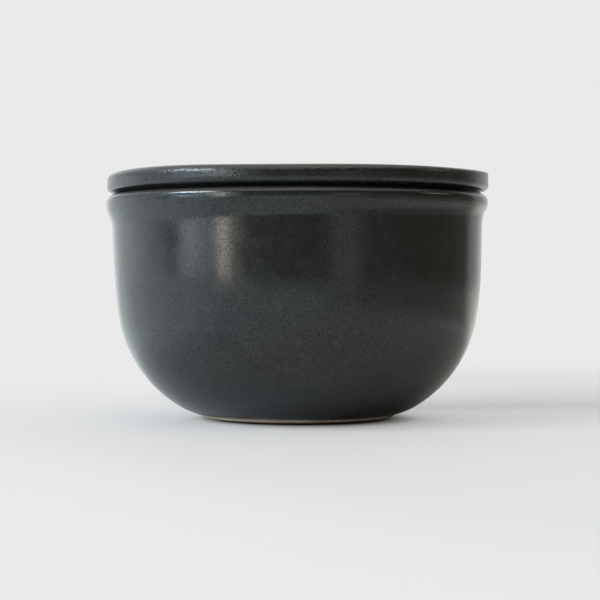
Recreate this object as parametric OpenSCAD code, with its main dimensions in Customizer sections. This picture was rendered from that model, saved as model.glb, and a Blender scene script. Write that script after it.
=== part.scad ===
/* [Bowl] */
// Diameter over the rolled lip, the widest part
lip_d = 105; // [90:1:125]
// Height of the bowl from the table to the top of its lip
bowl_h = 61.75; // [56:0.05:72]
// Thickness of the wall and of the floor's curve
wall = 4.4; // [3.5:0.1:5.5]
// Lean of the upper wall, in degrees, so that it widens upwards
wall_lean = 1.9; // [1:0.1:4]
// Height of the straight stretch of the upper wall
straight_h = 11; // [6:0.5:16]

/* [Lip] */
// Radius of the lip's rounded outer shoulder
roll_r = 2.55; // [1.5:0.05:3]
// Radius of the lip's swell below its widest point
swell_r = 5.4; // [4:0.1:7]
// How far the swell turns under before the neck, in degrees
swell_turn = 27.5; // [20:0.5:32]
// Radius of the hollow neck under the lip
neck_r = 9.1; // [7:0.1:12]
// Thickness of the lip across its top
lip_w = 6; // [5.5:0.1:7]
// Radius of the lip's rounded inner edge
mouth_r = 2; // [1:0.1:2.4]

/* [Body curve] */
// Radius where the wall begins to turn in
shoulder_r = 111.6; // [80:0.1:150]
// Slope of the wall where the shoulder meets the belly, in degrees
shoulder_turn = 9; // [6:0.5:12]
// Radius of the round belly
belly_r = 34.7; // [30:0.1:36]
// Slope of the wall where the belly meets the base, in degrees
belly_turn = 59.4; // [50:0.1:62]
// Radius of the base's curve
base_r = 19.3; // [16:0.1:21]

/* [Foot] */
// Radius of the bare clay step that the glaze stops at
foot_r = 26.5; // [25.8:0.1:27.4]
// Height of the bevel under the step
bevel_h = 0.75; // [0.4:0.05:1]
// Outer radius of the ring that stands on the table
stand_r = 23.5; // [22:0.1:25]
// Width of that ring
stand_w = 4; // [3:0.1:5]
// Depth of the hollow under the base
hollow_h = 1.2; // [0.8:0.1:1.6]

/* [Lid] */
// How much smaller in diameter the lid is than the lip
lid_inset = 0.3; // [0:0.05:2]
// Thickness of the lid at its edge
lid_t = 5.6; // [5:0.1:7]
// Radius of the lid's upper edge
lid_top_r = 1.3; // [0.5:0.1:2]
// Radius of the lid's lower edge
lid_low_r = 2.1; // [1:0.1:2.8]
// Depth of the recess inside the locating ring
recess_h = 0.8; // [0.4:0.1:1.5]

/* [Locating ring] */
// Gap between the ring and the mouth, on the radius
ring_gap = 1.1; // [0.6:0.1:1.6]
// Thickness of the ring
ring_t = 3.6; // [3:0.1:5]
// How far the ring reaches below the lid's seat
ring_h = 4.5; // [3:0.1:6]
// Radius of the ring's lower edges
ring_edge_r = 1.1; // [0.5:0.1:1.4]
// Radius of the fillets at the ring's root
ring_root_r = 0.7; // [0.3:0.05:0.8]

/* [Hidden] */

glaze = [0.17, 0.18, 0.19];
round_fn = 180;
// Greatest gap between a drawn arc and the true one
sag = 0.004;

lip_r = lip_d / 2;
bulge_z = bowl_h - roll_r;
mouth_in_r = lip_r - lip_w;
lid_r = lip_r - lid_inset / 2;
lid_top_z = bowl_h + lid_t;
ring_r = mouth_in_r - ring_gap;

// A point at angle a on a circle round c
function on_circle(c, r, a) = c + r * [cos(a), sin(a)];
// The points of an arc round c from angle a to angle b
function arc(c, r, a, b) =
    let (turn = 2 * acos(1 - sag / r), n = max(3, ceil(abs(b - a) / turn)))
    [for (i = [0:n]) on_circle(c, r, a + (b - a) * i / n)];
// The same points from last to first
function reversed(pts) = [for (i = [len(pts) - 1:-1:0]) pts[i]];

// Each arc's centre follows from the arc above it, so that the outline is smooth where they meet.
swell_c = [lip_r - swell_r, bulge_z];
neck_c = on_circle(swell_c, swell_r + neck_r, -swell_turn);
neck_end = on_circle(neck_c, neck_r, 180 - wall_lean);
wall_end = neck_end - straight_h * [tan(wall_lean), 1];
shoulder_c = on_circle(wall_end, -shoulder_r, -wall_lean);
belly_c = on_circle(shoulder_c, shoulder_r - belly_r, -shoulder_turn);
base_c = on_circle(belly_c, belly_r - base_r, -belly_turn);

// Where the glazed outside reaches the foot's step
foot_angle = -acos((foot_r - base_c.x) / base_r);
// Where the inner wall's slope starts, just below the mouth's rounded edge
mouth_c = [mouth_in_r + mouth_r, bowl_h - mouth_r];

// The curved wall from the straight stretch down to the base, set in by the distance inset
function body_curve(inset, last_angle) = concat(
    arc(shoulder_c, shoulder_r - inset, -wall_lean, -shoulder_turn),
    arc(belly_c, belly_r - inset, -shoulder_turn, -belly_turn),
    arc(base_c, base_r - inset, -belly_turn, last_angle)
);

// Lip, neck and body, from the top of the lip down to the foot's step
function outer_outline() = concat(
    arc([lip_r - roll_r, bulge_z], roll_r, 90, 0),
    arc(swell_c, swell_r, 0, -swell_turn),
    arc(neck_c, neck_r, 180 - swell_turn, 180 - wall_lean),
    body_curve(0, foot_angle)
);

// Step, bevel, standing ring and hollow underside, from the outside in to the axis
function foot_outline() = [
    [foot_r, bevel_h],
    [stand_r, 0],
    [stand_r - stand_w, 0],
    [stand_r - stand_w - hollow_h, hollow_h],
    [0, hollow_h]
];

// Floor, inner wall and rounded mouth, from the axis up to the top of the lip
function inner_outline() = concat(
    [[0, base_c.y - base_r + wall]],
    reversed(body_curve(wall, -90)),
    arc(mouth_c, mouth_r, 180, 90)
);

// Locating ring, from its inner root to its outer root
function ring_outline() =
    let (
        low = bowl_h - ring_h + ring_edge_r,
        inner = ring_r - ring_t,
        root_in = [inner - ring_root_r, bowl_h + recess_h - ring_root_r],
        root_out = [ring_r + ring_root_r, bowl_h - ring_root_r]
    )
    concat(
        arc(root_in, ring_root_r, 90, 0),
        arc([inner + ring_edge_r, low], ring_edge_r, 180, 270),
        arc([ring_r - ring_edge_r, low], ring_edge_r, 270, 360),
        arc(root_out, ring_root_r, 180, 90)
    );

// Underside, ring, seat and rounded edge, from the axis out and back over the flat top
function lid_outline() = concat(
    [[0, bowl_h + recess_h]],
    ring_outline(),
    arc([lid_r - lid_low_r, bowl_h + lid_low_r], lid_low_r, 270, 360),
    arc([lid_r - lid_top_r, lid_top_z - lid_top_r], lid_top_r, 0, 90),
    [[0, lid_top_z]]
);

// The thrown bowl: one glazed wall from the lip to the bare foot
module bowl() {
    color(glaze)
        rotate_extrude($fn = round_fn)
            polygon(concat(outer_outline(), foot_outline(), inner_outline()));
}

// The loose lid: a flat disc that rests on the lip, with a ring that keeps it centred
module lid() {
    color(glaze)
        rotate_extrude($fn = round_fn)
            polygon(lid_outline());
}

bowl();
lid();
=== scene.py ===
import math

import bmesh
import bpy
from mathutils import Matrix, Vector


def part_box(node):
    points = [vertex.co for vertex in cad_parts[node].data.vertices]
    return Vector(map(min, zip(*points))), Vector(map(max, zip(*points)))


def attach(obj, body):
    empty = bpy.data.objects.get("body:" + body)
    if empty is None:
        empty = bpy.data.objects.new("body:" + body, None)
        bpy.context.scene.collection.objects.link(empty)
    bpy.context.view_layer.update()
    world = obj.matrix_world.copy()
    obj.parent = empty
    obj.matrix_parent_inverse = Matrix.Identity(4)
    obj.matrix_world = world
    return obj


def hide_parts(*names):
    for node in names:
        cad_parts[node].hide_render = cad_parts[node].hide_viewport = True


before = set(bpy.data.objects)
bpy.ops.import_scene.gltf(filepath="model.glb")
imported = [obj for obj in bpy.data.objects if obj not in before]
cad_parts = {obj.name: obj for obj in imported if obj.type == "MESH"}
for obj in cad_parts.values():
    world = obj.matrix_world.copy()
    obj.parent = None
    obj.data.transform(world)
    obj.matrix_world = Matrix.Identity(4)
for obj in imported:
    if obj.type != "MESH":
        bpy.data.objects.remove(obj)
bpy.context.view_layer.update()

MM = 0.001

# Mesh fineness. Points closer than SAME_POINT, in metres, are one, and points of the outline are
# matched by their first SAME_DECIMALS decimals.
SAME_POINT = 1e-6
SAME_DECIMALS = 7
TURN_STEPS = 320
RESAMPLE_STEP = 0.08 * MM
FINE_STEP = 0.22 * MM
COARSE_STEP = 1.3 * MM
BEND_PER_STEP = math.radians(3.5)
KILN_SOFTENING = 0.2 * MM
SEAT_STEPS = 14
CORNER_STEPS = 23
SIDE_STEPS = 5
FLAT_STEPS = 8

# Places on the bowl and lid, from the CAD model
LIP_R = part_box("bowl")[1].x
LIP_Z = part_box("bowl")[1].z
LID_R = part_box("lid")[1].x
LID_TOP_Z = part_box("lid")[1].z
RING_LOW_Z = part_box("lid")[0].z

# How the thrown bowl strays from a true round: the swell and the neck under the lip sit a little
# high at the front and right, the lip's crest a hair high at the right, and the rim leans a little
# to the left. The swell ends where the lip's roll, an arc of radius ROLL, starts. Apart from the
# lean, the wall below WALL_Z and the inside within INNER_WALL_R stay round and level.
ROLL = 2.55 * MM
SWELL_Z = LIP_Z - ROLL
NECK_Z = LIP_Z - 6.5 * MM
WALL_Z = LIP_Z - 18 * MM
CREST_RIGHT = 0.06 * MM
SWELL_FRONT = 0.75 * MM
SWELL_RIGHT = 0.3 * MM
NECK_FRONT = 1.1 * MM
NECK_RIGHT = 0.8 * MM
INNER_WALL_R = LIP_R - 5.8 * MM
OUTER_WALL_R = LIP_R - 3.2 * MM
RIM_LEAN = 0.24 * MM

# The lid's edge. It rests on the lip from SEAT_R to TOUCH_R and then lifts off. Radii of its upper
# and lower corner and the height of its underside, and how they change round the lid.
SEAT_R = LID_R - 5.5 * MM
TOUCH_R = LID_R - 2.8 * MM
TOP_CORNER = 2.0 * MM
TOP_CORNER_LEFT = 0.75 * MM
TOP_CORNER_SIDES = 0.7 * MM
LOW_CORNER = 2.0 * MM
LOW_CORNER_SIDES = 0.75 * MM
LOW_CORNER_RIGHT = 0.25 * MM
UNDER = 0.77 * MM
UNDER_RIGHT = 0.14 * MM
UNDER_WAVE = 0.11 * MM

# The height of the lid's upper edge waves round the lid: each wave is a count of crests, and the
# cosine and sine shares of LID_WAVE
LID_WAVE = 0.1 * MM
LID_WAVE_MEAN = 0.5
LID_WAVES = ((5, -0.9, 0.7), (3, -0.6, -0.8))

# The glaze stops at GLAZE_LINE on the foot and at the ring's lower edge under the lid. The bare
# clay is painted dark below PAINTED_SHADE_Z, as painted shade where the foot meets the table, and
# the hollow inside the foot is glazed.
GLAZE_LINE = 1.75 * MM
RING_BARE_Z = RING_LOW_Z + 0.6 * MM
GLAZE_LINE_SOFT = 0.1 * MM
PAINTED_SHADE_Z = 0.9 * MM
PAINTED_SHADE_SOFT = 0.15 * MM
FOOT_HOLLOW_R = 19.4 * MM
FOOT_HOLLOW_SOFT = 0.3 * MM

# How far below the top the glaze starts to thin and is thinnest, and how thin it gets from 0 to 1
LIP_THIN = (1.5 * MM, 0.9 * MM, 0.35)
LID_THIN = (1.5 * MM, 0.7 * MM, 0.5)

# The lid's rim, which has thin and brushed glaze, starts and is in full this far from the edge
RIM = (3.5 * MM, 2.0 * MM)

# Least roughness of the glaze, and how far it varies: the lid is less shiny than the bowl
BOWL_ROUGH = 0.155
LID_ROUGH = 0.24
ROUGH_SPREAD = 0.045

# Colours of glaze and clay, and the painted shade on the clay where the foot meets the table
GLAZE_DARK = (0.0072, 0.0082, 0.0086, 1)
GLAZE_PALE = (0.0178, 0.0194, 0.0202, 1)
GLAZE_THIN = (0.060, 0.050, 0.043, 1)
CLAY_DARK = (0.58, 0.49, 0.40, 1)
CLAY_PALE = (0.76, 0.67, 0.56, 1)
CLAY_PAINTED_SHADE = (0.100, 0.055, 0.036, 1)

# How the glaze mirrors, its specular level in the pits and on top of the grain, and the clay's
# roughness
GLAZE_IOR = 1.52
GLAZE_SPECULAR = (0.28, 0.72)
CLAY_ROUGH = 0.85

# Noises: cells per metre, detail and roughness
GLAZE_GRAIN = (3600, 1.0, 0.6)
GLAZE_MOTTLE = (260, 3.0, 0.55)
GLAZE_WANDER = (90, 2.0, 0.5)
BRUSH_MARKS = (1100, 1.0, 0.5)
CLAY_GRAIN = (1400, 3.0, 0.65)
CLAY_PATCHES = (120, 2.0, 0.5)

# Share of the fine grain in the colour, the rest being mottle or patches, and the spans of noise
# values over which the colour and the gloss change
GLAZE_GRAIN_SHARE = 0.6
GLAZE_COLOUR_SPAN = (0.32, 0.68)
CLAY_GRAIN_SHARE = 0.5
CLAY_COLOUR_SPAN = (0.35, 0.65)
GLOSS_SPAN = (0.3, 0.7)

# Reliefs: height and strength. The brush marks are BRUSH_FLATNESS times as wide as high, and on
# the bowl the edges of full glaze wander up and down by half of GLAZE_WANDER_HEIGHT at most.
GLAZE_RELIEF = (0.02 * MM, 0.3)
BRUSH_RELIEF = (0.09 * MM, 1.0)
CLAY_RELIEF = (0.06 * MM, 0.6)
BRUSH_FLATNESS = 2.5
GLAZE_WANDER_HEIGHT = 0.5 * MM


# ---------------------------------------------------------------- outlines from the CAD solids

def half_outline(node):
    """The CAD solid's outline in the half plane y = 0, x >= 0, in order, as (radius, height)."""
    solid = bmesh.new()
    solid.from_mesh(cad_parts[node].data)
    bmesh.ops.remove_doubles(solid, verts=solid.verts, dist=SAME_POINT)
    everything = solid.verts[:] + solid.edges[:] + solid.faces[:]
    cut = bmesh.ops.bisect_plane(solid, geom=everything, dist=SAME_POINT, plane_no=(0, 1, 0))
    links = {}
    for edge in cut["geom_cut"]:
        if not isinstance(edge, bmesh.types.BMEdge):
            continue
        left, right = sorted((v.co.x, v.co.z) for v in edge.verts)
        if right[0] < SAME_POINT:
            continue
        if left[0] < 0:
            t = -left[0] / (right[0] - left[0])
            left = (0.0, left[1] + (right[1] - left[1]) * t)
        ends = [(round(x, SAME_DECIMALS), round(z, SAME_DECIMALS)) for x, z in (left, right)]
        links.setdefault(ends[0], set()).add(ends[1])
        links.setdefault(ends[1], set()).add(ends[0])
    solid.free()
    on_axis = sorted((p for p in links if abs(p[0]) < SAME_POINT), key=lambda p: p[1])
    path = [on_axis[0]]
    while path[-1] != on_axis[-1]:
        path.append([p for p in links[path[-1]] if p not in path[-2:]][0])
    return path


def evenly_spaced(path, step):
    """The same path as points an even step apart."""
    total = [0.0]
    for a, b in zip(path, path[1:]):
        total.append(total[-1] + math.dist(a, b))
    count = round(total[-1] / step)
    points = []
    leg = 0
    for i in range(count + 1):
        s = total[-1] * i / count
        while leg < len(path) - 2 and total[leg + 1] < s:
            leg += 1
        t = (s - total[leg]) / (total[leg + 1] - total[leg])
        points.append(tuple(a + (b - a) * t for a, b in zip(path[leg], path[leg + 1])))
    return points


def softened(path):
    """The path with its corners rounded, as glaze and firing round them."""
    points = evenly_spaced(path, RESAMPLE_STEP)
    spread = KILN_SOFTENING / RESAMPLE_STEP
    reach = int(3 * spread)
    weights = [math.exp(-0.5 * (k / spread) ** 2) for k in range(-reach, reach + 1)]
    mass = sum(weights)
    padded = [points[0]] * reach + points + [points[-1]] * reach
    smooth = []
    for i in range(len(points)):
        near = padded[i:i + 2 * reach + 1]
        smooth.append(tuple(sum(p[j] * w for p, w in zip(near, weights)) / mass for j in (0, 1)))
    smooth[0], smooth[-1] = points[0], points[-1]
    return smooth


def thinned(path):
    """Drops points where the path is nearly straight, so that curves keep the fine steps."""
    kept = [path[0]]
    run, turned = 0.0, 0.0
    for before, here, after in zip(path, path[1:], path[2:]):
        run += math.dist(before, here)
        a = math.atan2(here[1] - before[1], here[0] - before[0])
        b = math.atan2(after[1] - here[1], after[0] - here[0])
        turned += abs((b - a + math.pi) % (2 * math.pi) - math.pi)
        if run >= FINE_STEP and (turned > BEND_PER_STEP or run >= COARSE_STEP):
            kept.append(here)
            run, turned = 0.0, 0.0
    kept.append(path[-1])
    return kept


def surface(name, columns):
    """A closed smooth mesh through the columns, one per step round the axis, each a list of
    points that starts and ends on the axis."""
    steps, rows = len(columns), len(columns[0]) - 2
    verts = [columns[0][0]]
    verts += [column[row + 1] for row in range(rows) for column in columns]
    verts.append(columns[0][-1])
    last_row = 1 + (rows - 1) * steps
    faces = []
    for step in range(steps):
        after = (step + 1) % steps
        faces.append((0, 1 + after, 1 + step))
        faces.append((len(verts) - 1, last_row + step, last_row + after))
        for row in range(1, last_row, steps):
            faces.append((row + step, row + after, row + steps + after, row + steps + step))
    mesh = bpy.data.meshes.new(name)
    mesh.from_pydata(verts, [], faces)
    shape = bmesh.new()
    shape.from_mesh(mesh)
    bmesh.ops.recalc_face_normals(shape, faces=shape.faces)
    shape.to_mesh(mesh)
    shape.free()
    mesh.polygons.foreach_set("use_smooth", [True] * len(mesh.polygons))
    piece = bpy.data.objects.new(name, mesh)
    bpy.context.scene.collection.objects.link(piece)
    return piece


# ---------------------------------------------------------------- the two pieces

def eased(value, low, high):
    """0 at low, 1 at high, and a smooth step between them."""
    t = min(max((value - low) / (high - low), 0.0), 1.0)
    return t * t * (3 - 2 * t)


def azimuths():
    """Round the axis once, as (to the right, to the front) unit vectors."""
    turns = [2 * math.pi * step / TURN_STEPS for step in range(TURN_STEPS)]
    return [(math.sin(turn), math.cos(turn)) for turn in turns]


def bowl_point(r, z, right, front):
    """A point of the bowl's round outline, moved by the thrower's small errors."""
    crest = CREST_RIGHT * right
    swell = SWELL_FRONT * front + SWELL_RIGHT * right
    neck = NECK_FRONT * front + NECK_RIGHT * right
    if z > SWELL_Z:
        rise = swell + (crest - swell) * (z - SWELL_Z) / ROLL
        inset = LIP_R - r
        widen = (swell - crest) / ROLL * min(inset, max(2 * ROLL - inset, 0))
    else:
        rise = swell + (neck - swell) * eased(z, SWELL_Z, NECK_Z)
        rise *= eased(z, WALL_Z, NECK_Z)
        widen = 0.0
    outside = eased(r, INNER_WALL_R, OUTER_WALL_R)
    r += widen * outside
    lean = RIM_LEAN * eased(z, LIP_Z / 2, LIP_Z)
    return (r * right - lean, -r * front, z + rise * outside)


def corner(centre, radius, start, end, steps):
    """Points of an arc, from start to end in degrees, without its last point."""
    turns = [math.radians(start + (end - start) * i / steps) for i in range(steps)]
    return [(centre[0] + radius * math.cos(a), centre[1] + radius * math.sin(a)) for a in turns]


def lid_top(azimuth):
    """Height of the lid's upper edge, which waves a little round the lid."""
    waves = [c * math.cos(count * azimuth) + d * math.sin(count * azimuth)
             for count, c, d in LID_WAVES]
    return LID_TOP_Z + LID_WAVE * (LID_WAVE_MEAN + sum(waves))


def lid_edge(right, front):
    """The lid's edge at this azimuth, from the seat round to the flat top."""
    azimuth = math.atan2(right, front)
    low = LOW_CORNER - LOW_CORNER_SIDES * right ** 4 + LOW_CORNER_RIGHT * right ** 3
    high = TOP_CORNER - TOP_CORNER_SIDES * right ** 4 - TOP_CORNER_LEFT * right
    bottom = LIP_Z + UNDER + UNDER_RIGHT * right - UNDER_WAVE * math.cos(4 * azimuth)
    top = lid_top(azimuth)
    low_r, low_z = LID_R - low, bottom + low
    high_r, high_z = LID_R - high, top - high
    across = [SEAT_R + (low_r - SEAT_R) * i / SEAT_STEPS for i in range(SEAT_STEPS)]
    seat = [(r, LIP_Z + (bottom - LIP_Z) * eased(r, TOUCH_R, low_r)) for r in across]
    under = corner((low_r, low_z), low, -90, 0, CORNER_STEPS)
    side = [(LID_R, low_z + (high_z - low_z) * i / SIDE_STEPS) for i in range(SIDE_STEPS)]
    over = corner((high_r, high_z), high, 0, 90, CORNER_STEPS)
    inward = [i / FLAT_STEPS for i in range(FLAT_STEPS + 1)]
    flat = [(high_r + (SEAT_R - high_r) * t, top + (LID_TOP_Z - top) * eased(t, 0, 1))
            for t in inward]
    return seat + under + side + over + flat


def make_bowl():
    outline = thinned(softened(half_outline("bowl")))
    columns = [[bowl_point(r, z, *way) for r, z in outline] for way in azimuths()]
    piece = surface("bowl_glazed", columns)
    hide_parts("bowl")
    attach(piece, "bowl")
    return piece


def make_lid():
    outline = thinned(softened(half_outline("lid")))
    middle = (LIP_Z + LID_TOP_Z) / 2
    below = [p for p in outline if p[0] < SEAT_R and p[1] < middle]
    above = [p for p in outline if p[0] < SEAT_R and p[1] > middle]
    columns = [[(r * right, -r * front, z) for r, z in below + lid_edge(right, front) + above]
               for right, front in azimuths()]
    piece = surface("lid_glazed", columns)
    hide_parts("lid")
    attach(piece, "lid")
    return piece


# ---------------------------------------------------------------- materials

class Nodes:
    """A node tree with short calls for the nodes used here."""

    def __init__(self, tree):
        self.tree = tree
        tree.nodes.clear()

    def add(self, kind, inputs, **settings):
        node = self.tree.nodes.new(kind)
        for key, value in settings.items():
            setattr(node, key, value)
        for key, value in inputs.items():
            if isinstance(value, bpy.types.NodeSocket):
                self.tree.links.new(value, node.inputs[key])
            else:
                node.inputs[key].default_value = value
        return node

    def math(self, operation, *values):
        node = self.add("ShaderNodeMath", dict(enumerate(values)), operation=operation)
        return node.outputs[0]

    def eased(self, value, low, high, a=0.0, b=1.0):
        """a where value is below low, b where it is above high, smooth between."""
        inputs = {"Value": value, "From Min": low, "From Max": high, "To Min": a, "To Max": b}
        node = self.add("ShaderNodeMapRange", inputs, interpolation_type="SMOOTHSTEP")
        return node.outputs["Result"]

    def below(self, value, limit, soft):
        """1 below the limit, 0 above it, with a soft edge."""
        return self.eased(value, limit - soft, limit + soft, 1.0, 0.0)

    def between(self, value, low, high, soft):
        """1 between low and high, 0 outside them, with soft edges."""
        return self.math("MULTIPLY", self.eased(value, low - soft, low + soft),
                         self.below(value, high, soft))

    def sectors(self, azimuth, left, right, soft):
        """Masks for one sector, once for each turn in which it lies within -180 to 180 degrees."""
        if right - left >= 360:
            return [1.0]
        return [self.between(azimuth, left + turn, right + turn, soft) for turn in (-360, 0, 360)
                if left + turn < 180 and right + turn > -180]

    def weighted(self, a, a_share, b, b_share):
        return self.math("ADD", self.math("MULTIPLY", a, a_share),
                         self.math("MULTIPLY", b, b_share))

    def azimuth(self, x, y):
        """Degrees round the axis: 0 towards the camera and 90 to the right."""
        return self.math("DEGREES", self.math("ARCTAN2", x, self.math("MULTIPLY", y, -1.0)))

    def radius(self, x, y):
        return self.math("SQRT", self.math("ADD", self.math("MULTIPLY", x, x),
                                           self.math("MULTIPLY", y, y)))

    def noise(self, where, scale, detail, roughness):
        inputs = {"Vector": where, "Scale": scale, "Detail": detail, "Roughness": roughness}
        return self.add("ShaderNodeTexNoise", inputs).outputs["Fac"]

    def mixed(self, factor, a, b):
        """Colour a where factor is 0 and b where it is 1."""
        node = self.add("ShaderNodeMix", {}, data_type="RGBA")
        for index, value in ((0, factor), (6, a), (7, b)):
            if isinstance(value, bpy.types.NodeSocket):
                self.tree.links.new(value, node.inputs[index])
            else:
                node.inputs[index].default_value = value
        return node.outputs[2]

    def blend(self, factor, a, b):
        """Shader a where factor is 0 and b where it is 1."""
        return self.add("ShaderNodeMixShader", {0: factor, 1: a, 2: b}).outputs[0]

    def emission(self, colour):
        return self.add("ShaderNodeEmission", {"Color": colour}).outputs[0]

    def seen_by_camera(self):
        return self.add("ShaderNodeLightPath", {}).outputs["Is Camera Ray"]

    def added_light(self, total, colour, strength, label):
        """The colour times the strength, added to a total that is None at first."""
        inputs = {0: colour, "Scale": strength}
        light = self.add("ShaderNodeVectorMath", inputs, operation="SCALE")
        light.label = label
        if total is None:
            return light.outputs[0]
        return self.add("ShaderNodeVectorMath", {0: total, 1: light.outputs[0]}).outputs[0]

    def principled(self, **inputs):
        names = {key.replace("_", " "): value for key, value in inputs.items()}
        return self.add("ShaderNodeBsdfPrincipled", names).outputs[0]

    def bump(self, height, distance, strength=1.0, normal=None):
        inputs = {"Height": height, "Distance": distance, "Strength": strength}
        if normal is not None:
            inputs["Normal"] = normal
        return self.add("ShaderNodeBump", inputs).outputs[0]

    def finish(self, kind, shader):
        self.add(kind, {0: shader})


def new_material(name):
    material = bpy.data.materials.new(name)
    material.use_nodes = True
    return material, Nodes(material.node_tree)


def charcoal_glaze(n, where, thin, rough, brushed=None):
    """Satin charcoal glaze that turns warm grey-brown where thin is 1, over optional brush marks."""
    grain = n.noise(where, *GLAZE_GRAIN)
    mottle = n.noise(where, *GLAZE_MOTTLE)
    shade = n.eased(n.weighted(grain, GLAZE_GRAIN_SHARE, mottle, 1 - GLAZE_GRAIN_SHARE),
                    *GLAZE_COLOUR_SPAN)
    colour = n.mixed(thin, n.mixed(shade, GLAZE_DARK, GLAZE_PALE), GLAZE_THIN)
    normal = n.bump(grain, *GLAZE_RELIEF)
    if brushed is not None:
        normal = n.bump(brushed, *BRUSH_RELIEF, normal)
    return n.principled(Base_Color=colour, IOR=GLAZE_IOR, Normal=normal,
                        Roughness=n.eased(mottle, *GLOSS_SPAN, rough, rough + ROUGH_SPREAD),
                        Specular_IOR_Level=n.eased(grain, *GLOSS_SPAN, *GLAZE_SPECULAR))


def bare_clay(n, where, z):
    """Unglazed fired stoneware, with shade painted dark on it where it meets the table."""
    grain = n.noise(where, *CLAY_GRAIN)
    patches = n.noise(where, *CLAY_PATCHES)
    tone = n.eased(n.weighted(grain, CLAY_GRAIN_SHARE, patches, 1 - CLAY_GRAIN_SHARE),
                   *CLAY_COLOUR_SPAN)
    # painted shade: the clay is coloured dark near the table, where the foot meets it
    painted_shade = n.below(z, PAINTED_SHADE_Z, PAINTED_SHADE_SOFT)
    colour = n.mixed(painted_shade, n.mixed(tone, CLAY_DARK, CLAY_PALE), CLAY_PAINTED_SHADE)
    return n.principled(Base_Color=colour, Roughness=CLAY_ROUGH,
                        Normal=n.bump(grain, *CLAY_RELIEF))


def bowl_material():
    material, n = new_material("bowl_charcoal_glaze")
    where = n.add("ShaderNodeTexCoord", {}).outputs["Object"]
    x, y, z = n.add("ShaderNodeSeparateXYZ", {0: where}).outputs
    uneven = n.math("SUBTRACT", n.noise(where, *GLAZE_WANDER), 0.5)
    height = n.math("ADD", z, n.math("MULTIPLY", uneven, GLAZE_WANDER_HEIGHT))
    starts, full, thinnest = LIP_THIN
    thin = n.eased(height, LIP_Z - starts, LIP_Z - full, 0.0, thinnest)
    on_foot = n.eased(n.radius(x, y), FOOT_HOLLOW_R - FOOT_HOLLOW_SOFT, FOOT_HOLLOW_R)
    bare = n.math("MULTIPLY", n.below(height, GLAZE_LINE, GLAZE_LINE_SOFT), on_foot)
    n.finish("ShaderNodeOutputMaterial",
             n.blend(bare, charcoal_glaze(n, where, thin, BOWL_ROUGH), bare_clay(n, where, z)))
    return material


def lid_material():
    material, n = new_material("lid_charcoal_glaze")
    where = n.add("ShaderNodeTexCoord", {}).outputs["Object"]
    x, y, z = n.add("ShaderNodeSeparateXYZ", {0: where}).outputs
    rim = n.eased(n.radius(x, y), LID_R - RIM[0], LID_R - RIM[1])
    starts, full, thinnest = LID_THIN
    thin = n.math("MULTIPLY", rim, n.eased(z, LID_TOP_Z - starts, LID_TOP_Z - full, 0.0, thinnest))
    flatter = {0: where, 1: (1, 1, BRUSH_FLATNESS)}
    flattened = n.add("ShaderNodeVectorMath", flatter, operation="MULTIPLY").outputs[0]
    brushed = n.math("MULTIPLY", rim, n.noise(flattened, *BRUSH_MARKS))
    bare = n.below(z, RING_BARE_Z, GLAZE_LINE_SOFT)
    glaze = charcoal_glaze(n, where, thin, LID_ROUGH, brushed)
    n.finish("ShaderNodeOutputMaterial", n.blend(bare, glaze, bare_clay(n, where, z)))
    return material


# ---------------------------------------------------------------- stage, light and camera

PALE = (0.82, 0.82, 0.825, 1)
TABLE_FRONT = -300 * MM
TABLE_BACK = 700 * MM
TABLE_LEFT = -600 * MM
TABLE_RIGHT = 450 * MM
TABLE_WHITE = (0.60, 0.60, 0.60, 1)
TABLE_ROUGH = 0.7
FLOOR_REACH = 300.0
FLOOR_DROP = 0.5 * MM

# Patches of light round the bowl: from and to azimuth in degrees (0 is towards the camera, 90 to
# the right), from and to elevation, softness of the edges, and the colour. Patches add up.
ROOM = {
    "left_wall_back": (-150, -128, -70, 8, 6, (1.18, 1.20, 1.23)),
    "left_wall": (-128, -104, -70, 8, 6, (1.28, 1.38, 1.43)),
    "window_frame": (-104, -88, -70, 8, 4, (0.91, 1.01, 1.05)),
    "window_left": (-88, -75, -70, 8, 4, (0.42, 0.46, 0.48)),
    "window_right": (-75, -61, -70, 8, 5, (2.25, 2.65, 2.90)),
    "window_bright": (-77, -62, 1, 9, 2, (1.90, 2.10, 2.20)),
    "mullion": (-61, -50, -70, 8, 3, (1.20, 1.45, 1.62)),
    "curtain": (-49, -42, -70, 8, 2, (6.0, 5.35, 4.65)),
    "curtain_fold": (-42, -34, -70, 8, 4, (1.15, 1.10, 1.05)),
    "front_left": (-34, -14, -70, 8, 5, (0.21, 0.20, 0.18)),
    "front": (-14, 20, -70, 8, 5, (0.16, 0.145, 0.11)),
    "door": (20, 38, -70, 8, 5, (0.57, 0.58, 0.55)),
    "front_right": (38, 62, -70, 8, 6, (0.25, 0.22, 0.18)),
    "right": (62, 112, -70, 8, 6, (0.20, 0.18, 0.14)),
    "right_corner": (112, 131, -70, 8, 4, (0.18, 0.18, 0.17)),
    "right_wall": (131, 150, -70, 42, 4, (0.66, 0.68, 0.66)),
    "back_right": (150, 180, -70, 42, 6, (0.92, 0.92, 0.90)),
    "back_left": (180, 210, -70, 42, 6, (1.22, 1.25, 1.28)),
    "left_high": (-150, -94, 8, 42, 6, (0.76, 0.87, 0.92)),
    "window_top": (-94, -54, 8, 29, 4, (0.85, 1.20, 1.45)),
    "sky": (-91, -59, 32, 44, 3, (15.5, 18.5, 20.5)),
    "curtain_top": (-54, -40, 8, 29, 4, (4.3, 5.0, 5.0)),
    "far_lamp": (84, 106, 18, 27, 2, (1.7, 1.8, 1.2)),
    "front_high": (-40, 133, 8, 42, 4, (0.05, 0.05, 0.05)),
    "ceiling": (-180, 180, 44, 100, 6, (0.94, 0.84, 0.76)),
    "ceiling_front": (-40, 40, 44, 100, 6, (0.47, 0.42, 0.38)),
}

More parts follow.
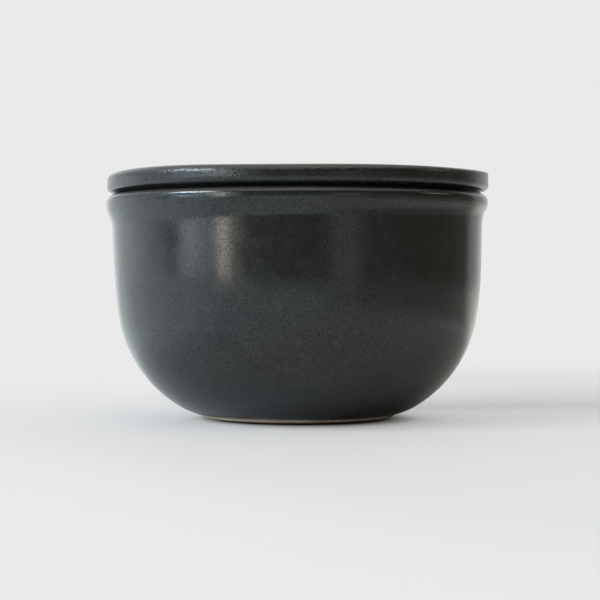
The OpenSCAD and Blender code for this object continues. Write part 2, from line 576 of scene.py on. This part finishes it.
# A soft lamp by the window, placed in metres, that lights the table but leaves no reflection in
# the glaze
LAMP_PLACE = (-1.0, -0.85, 0.7)
LAMP_WIDTH = 0.6
LAMP_WATTS = 15.5
LAMP_COLOUR = (0.50, 0.51, 0.55)

# How bright the table far from the bowl is when mirrored in it: from and to azimuth, softness of
# the edges and the colour
TABLE_GLOW = {
    "table_left": (-150, -50, 15, (1.11, 1.25, 1.32)),
    "table_front": (-50, 20, 15, (0.72, 0.81, 0.83)),
    "table_right": (20, 128, 10, (0.36, 0.35, 0.32)),
    "table_back": (128, 210, 10, (1.10, 1.08, 1.00)),
}

# The share of plain light from all sides in the tone of the table near the bowl, as the camera
# sees it. The bowl hides that light up to SHADE_FROM and lets all of it in from SHADE_TO, both
# measured from a point SHADE_RIGHT of the axis.
TABLE_FILL = 0.36
SHADE_FROM = 20 * MM
SHADE_TO = 34 * MM
SHADE_RIGHT = 3 * MM

# On the right, away from the window, there is more of that light beside the bowl and less behind
# it: where each stretch starts and ends, measured towards the back, and by how much
BESIDE = (-55 * MM, 33 * MM)
BESIDE_SOFT = 15 * MM
BESIDE_MORE = 0.5
BEHIND = (40 * MM, 110 * MM)
BEHIND_LESS = 0.6
RIGHT_SIDE = (0.0, 50 * MM)

# Between these distances the lit table turns into the plain tone. The change comes earlier on the
# left and later on the right by up to FAR_SHIFT, and earlier in reflections by FAR_IN_GLAZE times.
FAR = (140 * MM, 260 * MM)
FAR_SHIFT = 70 * MM
FAR_IN_GLAZE = 1.6


def make_room():
    """The world: plain and pale to the camera, and a room with a window to everything else."""
    world = bpy.data.worlds.new("room")
    bpy.context.scene.world = world
    world.use_nodes = True
    n = Nodes(world.node_tree)
    way = n.add("ShaderNodeTexCoord", {}).outputs["Generated"]
    x, y, z = n.add("ShaderNodeSeparateXYZ", {0: way}).outputs
    azimuth = n.azimuth(x, y)
    height = n.math("DEGREES", n.math("ARCSINE", z))
    glow = None
    for name, (left, right, low, high, soft, colour) in ROOM.items():
        level = n.between(height, low, high, soft)
        for side in n.sectors(azimuth, left, right, soft):
            glow = n.added_light(glow, colour, n.math("MULTIPLY", level, side), name)
    room = n.add("ShaderNodeBackground", {"Color": glow}).outputs[0]
    pale = n.add("ShaderNodeBackground", {"Color": PALE}).outputs[0]
    n.finish("ShaderNodeOutputWorld", n.blend(n.seen_by_camera(), room, pale))


def flat_piece(name, left, right, front, back, height):
    mesh = bpy.data.meshes.new(name)
    corners = [(left, front, height), (right, front, height), (right, back, height),
               (left, back, height)]
    mesh.from_pydata(corners, [], [(0, 1, 2, 3)])
    piece = bpy.data.objects.new(name, mesh)
    bpy.context.scene.collection.objects.link(piece)
    return piece


def make_lamp():
    data = bpy.data.lights.new("window_lamp", "AREA")
    data.shape = "DISK"
    data.size = LAMP_WIDTH
    data.energy = LAMP_WATTS
    data.color = LAMP_COLOUR
    lamp = bpy.data.objects.new("window_lamp", data)
    lamp.location = LAMP_PLACE
    lamp.rotation_euler = Vector(LAMP_PLACE).to_track_quat("Z", "Y").to_euler()
    lamp.visible_glossy = False
    bpy.context.scene.collection.objects.link(lamp)


def window_share(n, x, y):
    """How the plain light on the table differs on the right, as a factor."""
    beside = n.between(y, *BESIDE, BESIDE_SOFT)
    change = n.weighted(beside, BESIDE_MORE, n.eased(y, *BEHIND), -BEHIND_LESS)
    return n.math("ADD", n.math("MULTIPLY", change, n.eased(x, *RIGHT_SIDE)), 1.0)


def table_material():
    """Matt white, lit near the bowl and plain beyond."""
    material, n = new_material("white_table")
    where = n.add("ShaderNodeTexCoord", {}).outputs["Object"]
    x, y, z = n.add("ShaderNodeSeparateXYZ", {0: where}).outputs
    seen = n.seen_by_camera()
    glow = None
    for name, (left, right, soft, colour) in TABLE_GLOW.items():
        for side in n.sectors(n.azimuth(x, y), left, right, soft):
            glow = n.added_light(glow, colour, side, name)
    plain = n.emission(PALE)
    beyond = n.blend(seen, n.emission(glow), plain)
    from_shade = {0: where, 1: (SHADE_RIGHT, 0, 0)}
    distance = n.add("ShaderNodeVectorMath", from_shade, operation="DISTANCE").outputs["Value"]
    open_sky = n.eased(distance, SHADE_FROM, SHADE_TO, 0.0, TABLE_FILL)
    fill = n.math("MULTIPLY", n.math("MULTIPLY", seen, open_sky), window_share(n, x, y))
    lit = n.principled(Base_Color=TABLE_WHITE, Roughness=TABLE_ROUGH)
    near = n.blend(fill, lit, plain)
    reach = n.math("MULTIPLY", n.radius(x, y), n.eased(seen, 0.0, 1.0, FAR_IN_GLAZE, 1.0))
    shift = n.eased(x, -FAR_SHIFT, FAR_SHIFT, -FAR_SHIFT, FAR_SHIFT)
    far = n.eased(n.math("SUBTRACT", reach, shift), *FAR)
    n.finish("ShaderNodeOutputMaterial", n.blend(far, near, beyond))
    return material


def make_table():
    table = flat_piece("table", TABLE_LEFT, TABLE_RIGHT, TABLE_FRONT, TABLE_BACK, 0.0)
    table.data.materials.append(table_material())


def make_floor():
    """A plain floor of the table's far tone, that only the camera sees."""
    material, n = new_material("plain_floor")
    n.finish("ShaderNodeOutputMaterial", n.emission(PALE))
    floor = flat_piece("floor", -FLOOR_REACH, FLOOR_REACH, -FLOOR_REACH, FLOOR_REACH, -FLOOR_DROP)
    floor.data.materials.append(material)
    floor.visible_diffuse = False
    floor.visible_glossy = False
    floor.visible_shadow = False


# The camera stands a little above the middle of the bowl's height, a hair to the right, and tilts
# down by CAMERA_TILT degrees. Lens and sensor are in millimetres, for the camera's own settings.
CAMERA_DISTANCE = 500 * MM
CAMERA_HEIGHT = 39.6 * MM
CAMERA_SIDE = 0.6 * MM
CAMERA_TILT = 0.79
CAMERA_LENS = 108.5
CAMERA_SENSOR = 36
CAMERA_NEAR = 10 * MM


def make_camera():
    data = bpy.data.cameras.new("camera")
    data.sensor_width = CAMERA_SENSOR
    data.lens = CAMERA_LENS
    data.clip_start = CAMERA_NEAR
    camera = bpy.data.objects.new("camera", data)
    camera.location = (CAMERA_SIDE, -CAMERA_DISTANCE, CAMERA_HEIGHT)
    camera.rotation_euler = (math.radians(90 - CAMERA_TILT), 0, 0)
    bpy.context.scene.collection.objects.link(camera)
    bpy.context.scene.camera = camera
    bpy.context.scene.view_settings.view_transform = "Standard"


make_bowl().data.materials.append(bowl_material())
make_lid().data.materials.append(lid_material())
make_room()
make_lamp()
make_table()
make_floor()
make_camera()
